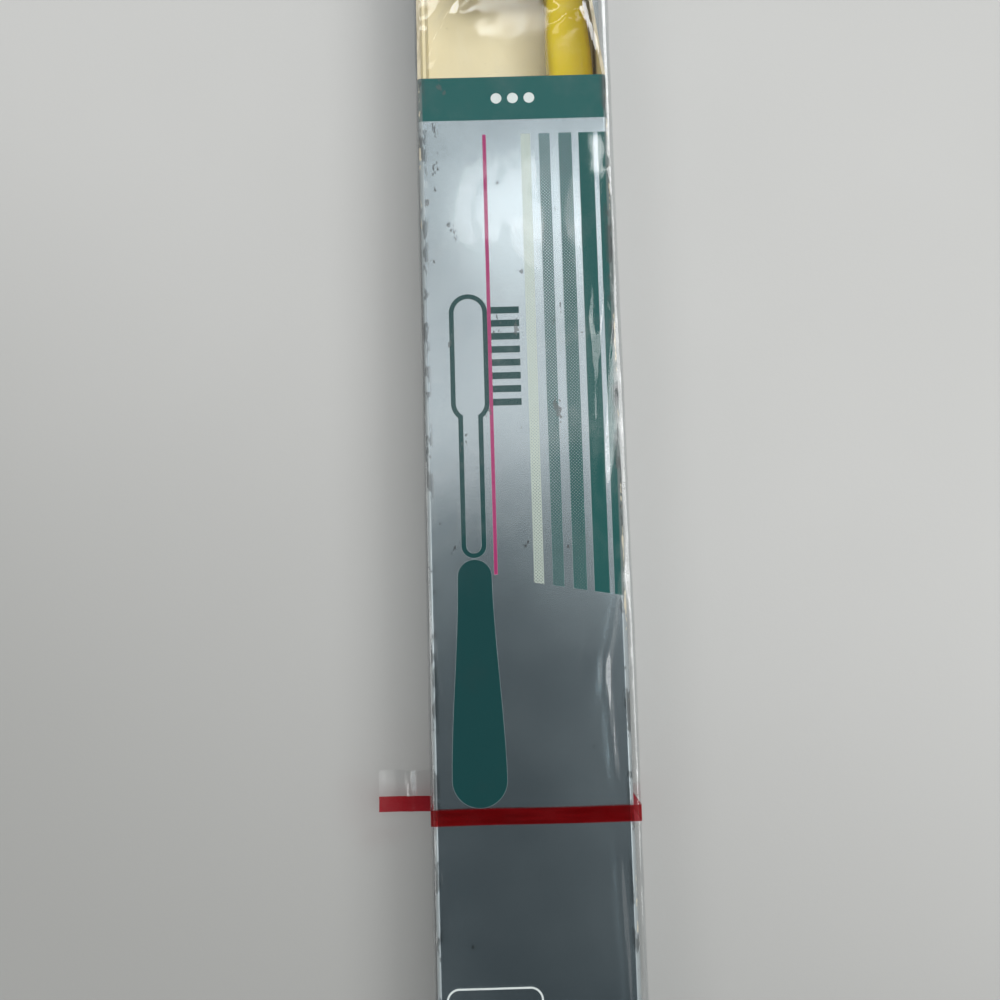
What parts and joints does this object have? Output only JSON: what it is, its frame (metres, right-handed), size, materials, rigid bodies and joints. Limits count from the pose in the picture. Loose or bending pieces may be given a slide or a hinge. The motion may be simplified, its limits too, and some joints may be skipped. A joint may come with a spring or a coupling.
{
  "type": "boxed manual toothbrush",
  "caption": "Angled manual toothbrush in a long windowed folding carton with tuck ends, sealed in clear film that opens by a red tear tape.",
  "frame": {"origin": "middle of the back film, on the face that the carton rests on", "axes": "+Y along the carton towards the window and the brush's head, +Z out of the printed front, +X to the right seen from the front"},
  "size_m": [0.0332, 0.2034, 0.0166],
  "materials": {
    "brush_plastic": "clear yellow, polished",
    "bristle": "nylon filament",
    "anchor_metal": "cut strip",
    "printed_board": "silver print outside, raw cream board inside",
    "raw_board": "raw cream board",
    "clear_film": "clear, slightly wrinkled",
    "red_tape": "clear red"
  },
  "bodies": {
    "carton": {"front_panel": "printed_board", "front_end_strip": "printed_board", "back_panel": "printed_board", "left_panel": "printed_board", "right_panel": "printed_board", "glue_flap": "raw_board", "tear_tape": "red_tape"},
    "brush": {"handle": "brush_plastic", "tuft_row_1": "bristle", "tuft_row_2": "bristle", "tuft_row_3": "bristle", "tuft_row_4": "bristle", "tuft_anchors": "anchor_metal"},
    "film_main": {"film_main": "clear_film"},
    "film_cap": {"film_cap": "clear_film"},
    "tear_tab": {"tear_tab": "red_tape", "tab_film": "clear_film"},
    "top_lid": {"top_lid": "printed_board"},
    "top_tuck_tab": {"top_tuck_tab": "printed_board"},
    "top_dust_left": {"top_dust_flap_left": "raw_board"},
    "top_dust_right": {"top_dust_flap_right": "raw_board"},
    "bottom_lid": {"bottom_lid": "printed_board"},
    "bottom_tuck_tab": {"bottom_tuck_tab": "printed_board"},
    "bottom_dust_left": {"bottom_dust_flap_left": "raw_board"},
    "bottom_dust_right": {"bottom_dust_flap_right": "raw_board"}
  },
  "joints": [
    {"name": "film_main_slide", "type": "slide", "parent": "carton", "child": "film_main", "axis": [0, 1, 0], "range_m": [0, 0.15]},
    {"name": "film_cap_slide", "type": "slide", "parent": "carton", "child": "film_cap", "axis": [0, -1, 0], "range_m": [0, 0.055]},
    {"name": "brush_slide", "type": "slide", "parent": "carton", "child": "brush", "axis": [0, 1, 0], "range_m": [-0.007, 0.007]},
    {"name": "tear_tab_lift", "type": "hinge", "parent": "carton", "child": "tear_tab", "pos_m": [-0.0133, -0.04645, 0.00831], "axis": [0, 1, 0], "range_deg": [-70, 80]},
    {"name": "top_lid_fold", "type": "hinge", "parent": "carton", "child": "top_lid", "pos_m": [0, 0.10125, 0.00076], "axis": [-1, 0, 0], "range_deg": [0, 75]},
    {"name": "top_tuck_fold", "type": "hinge", "parent": "top_lid", "child": "top_tuck_tab", "pos_m": [0, 0.1008, 0.01526], "axis": [1, 0, 0], "range_deg": [0, 75]},
    {"name": "top_dust_left_fold", "type": "hinge", "parent": "carton", "child": "top_dust_left", "pos_m": [-0.01228, 0.10065, 0.0069], "axis": [0, 0, 1], "range_deg": [0, 37.5]},
    {"name": "top_dust_right_fold", "type": "hinge", "parent": "carton", "child": "top_dust_right", "pos_m": [0.01228, 0.10065, 0.0069], "axis": [0, 0, -1], "range_deg": [0, 37.5]},
    {"name": "bottom_lid_fold", "type": "hinge", "parent": "carton", "child": "bottom_lid", "pos_m": [0, -0.10125, 0.00076], "axis": [1, 0, 0], "range_deg": [0, 75]},
    {"name": "bottom_tuck_fold", "type": "hinge", "parent": "bottom_lid", "child": "bottom_tuck_tab", "pos_m": [0, -0.1008, 0.01526], "axis": [-1, 0, 0], "range_deg": [0, 75]},
    {"name": "bottom_dust_left_fold", "type": "hinge", "parent": "carton", "child": "bottom_dust_left", "pos_m": [-0.01228, -0.10065, 0.0069], "axis": [0, 0, -1], "range_deg": [0, 37.5]},
    {"name": "bottom_dust_right_fold", "type": "hinge", "parent": "carton", "child": "bottom_dust_right", "pos_m": [0.01228, -0.10065, 0.0069], "axis": [0, 0, 1], "range_deg": [0, 37.5]}
  ],
  "couplings": [
    {"joint": "top_lid_fold", "follows": "film_main_slide", "rad_per_m": 8.7266},
    {"joint": "top_tuck_fold", "follows": "film_main_slide", "rad_per_m": 8.7266},
    {"joint": "top_dust_left_fold", "follows": "film_main_slide", "rad_per_m": 4.3633},
    {"joint": "top_dust_right_fold", "follows": "film_main_slide", "rad_per_m": 4.3633},
    {"joint": "bottom_lid_fold", "follows": "film_cap_slide", "rad_per_m": 23.8},
    {"joint": "bottom_tuck_fold", "follows": "film_cap_slide", "rad_per_m": 23.8},
    {"joint": "bottom_dust_left_fold", "follows": "film_cap_slide", "rad_per_m": 11.9},
    {"joint": "bottom_dust_right_fold", "follows": "film_cap_slide", "rad_per_m": 11.9}
  ]
}
